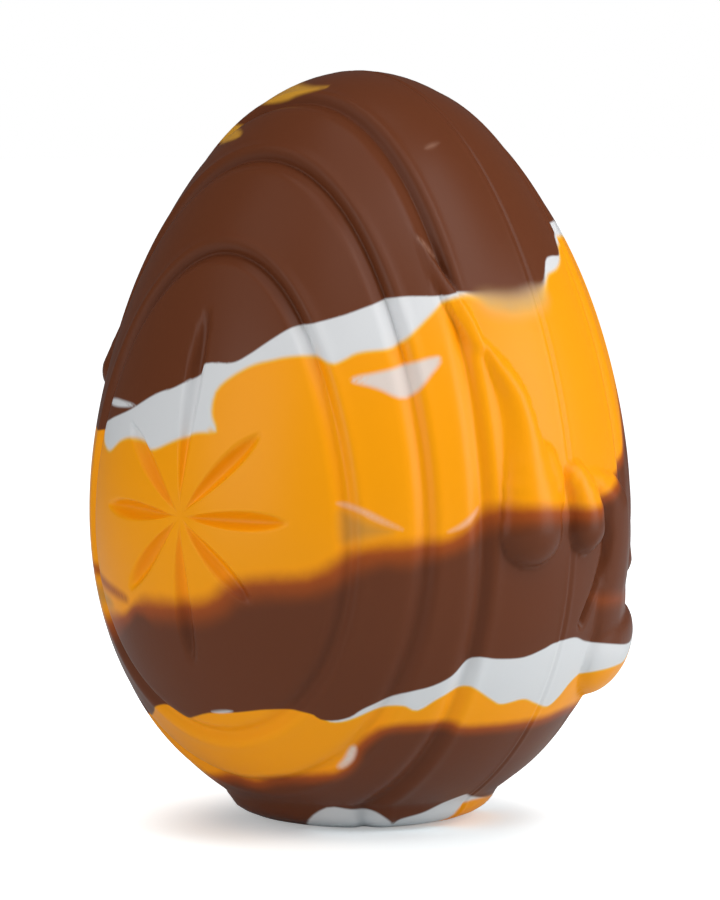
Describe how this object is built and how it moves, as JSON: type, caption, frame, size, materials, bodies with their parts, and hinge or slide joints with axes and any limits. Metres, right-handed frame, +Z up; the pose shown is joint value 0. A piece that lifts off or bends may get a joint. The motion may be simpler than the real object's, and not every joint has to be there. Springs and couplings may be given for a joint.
{
  "type": "chocolate egg",
  "caption": "Upright moulded chocolate egg on its own low round foot, with nested outline steps, a cut star and poured drips, marbled in brown, orange and white.",
  "frame": {"origin": "middle of the foot's flat underside, at the base of the egg", "axes": "+Z up along the egg, -Y and +Y towards the two star faces, and +X and -X towards the seams with their drips"},
  "size_m": [0.1382, 0.1304, 0.1801],
  "materials": {
    "chocolate": "satin chocolate: milk brown marbled with orange and white, matte_plastic standing in for it"
  },
  "bodies": {
    "root": {"egg": "chocolate"}
  },
  "joints": []
}
